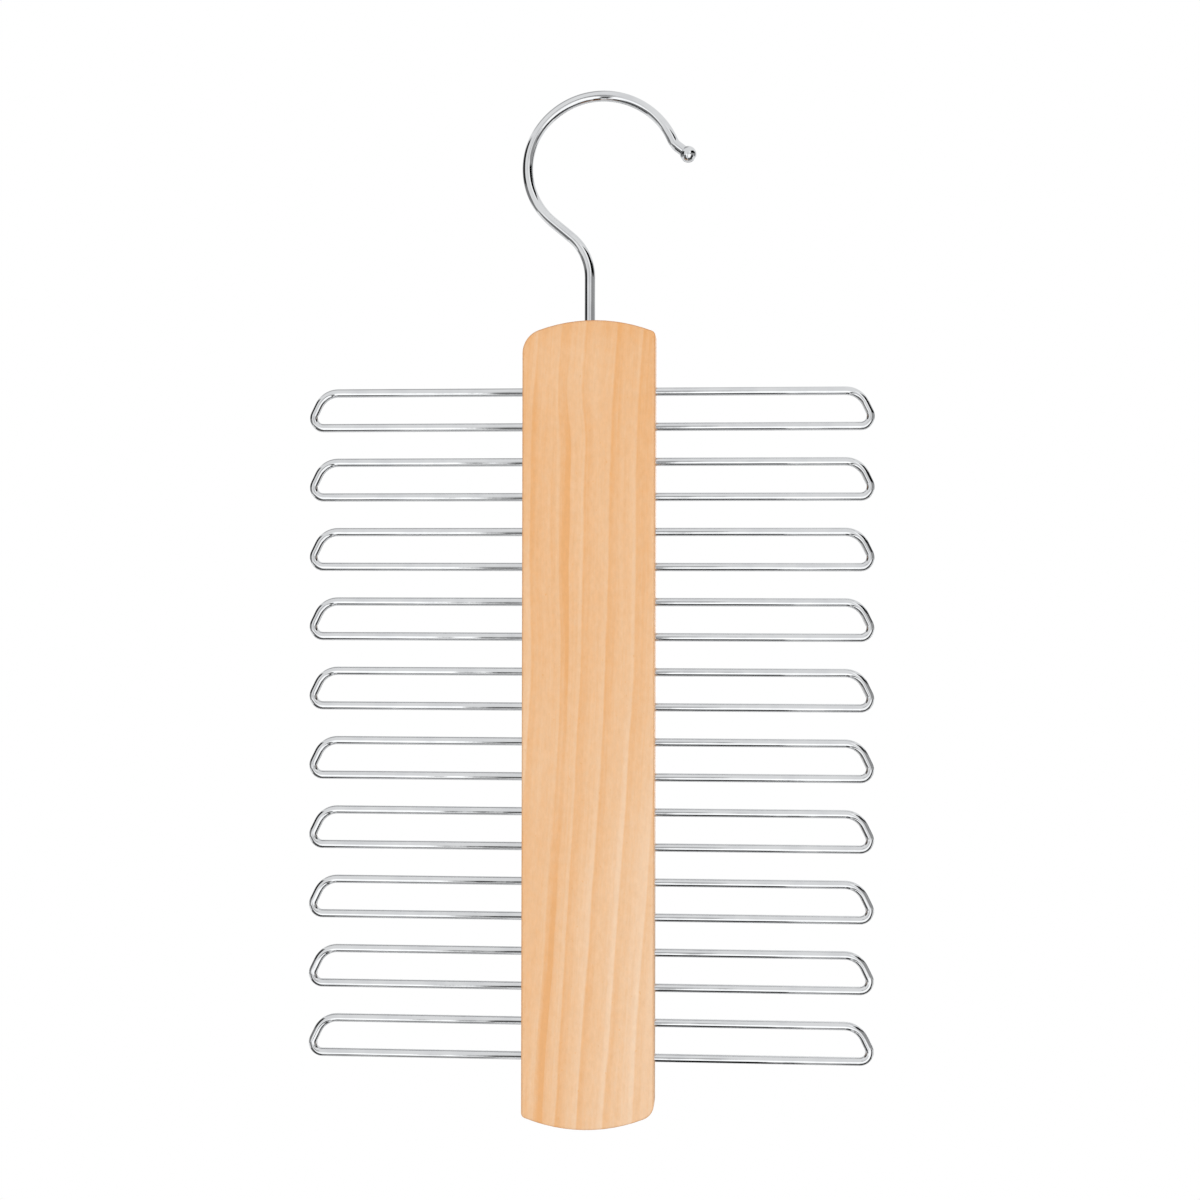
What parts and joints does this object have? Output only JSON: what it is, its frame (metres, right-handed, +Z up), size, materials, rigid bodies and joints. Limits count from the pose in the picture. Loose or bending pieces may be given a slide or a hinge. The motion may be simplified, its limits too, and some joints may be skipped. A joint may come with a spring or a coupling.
{
  "type": "tie hanger",
  "caption": "Flat wooden board with bent wire loops along both edges for hanging ties, carried by a swivelling ball-tipped hook that drops over a clothes rail.",
  "frame": {"origin": "point on the swivel axis where the inside of the hook's crown rests on a clothes rail", "axes": "+Z up along the swivel axis, +X towards the tip of the hook and the right-hand loops, -Y out of the front of the board"},
  "size_m": [0.2106, 0.012, 0.385],
  "materials": {
    "board_wood": "pale straight-grained wood under satin clear lacquer",
    "hook_chrome": "bright chrome on bent steel wire",
    "loop_chrome": "bright chrome on bent steel wire",
    "bush_nylon": "natural nylon, hidden in the board"
  },
  "bodies": {
    "hook": {"hook": "hook_chrome"},
    "rack": {"board": "board_wood", "hook_bush": "bush_nylon", "loop_left_01": "loop_chrome", "loop_left_02": "loop_chrome", "loop_left_03": "loop_chrome", "loop_left_04": "loop_chrome", "loop_left_05": "loop_chrome", "loop_left_06": "loop_chrome", "loop_left_07": "loop_chrome", "loop_left_08": "loop_chrome", "loop_left_09": "loop_chrome", "loop_left_10": "loop_chrome", "loop_right_01": "loop_chrome", "loop_right_02": "loop_chrome", "loop_right_03": "loop_chrome", "loop_right_04": "loop_chrome", "loop_right_05": "loop_chrome", "loop_right_06": "loop_chrome", "loop_right_07": "loop_chrome", "loop_right_08": "loop_chrome", "loop_right_09": "loop_chrome", "loop_right_10": "loop_chrome"}
  },
  "joints": [
    {"name": "hook_swivel", "type": "hinge", "parent": "hook", "child": "rack", "pos_m": [0, 0, -0.08156], "axis": [0, 0, 1], "continuous": true}
  ]
}
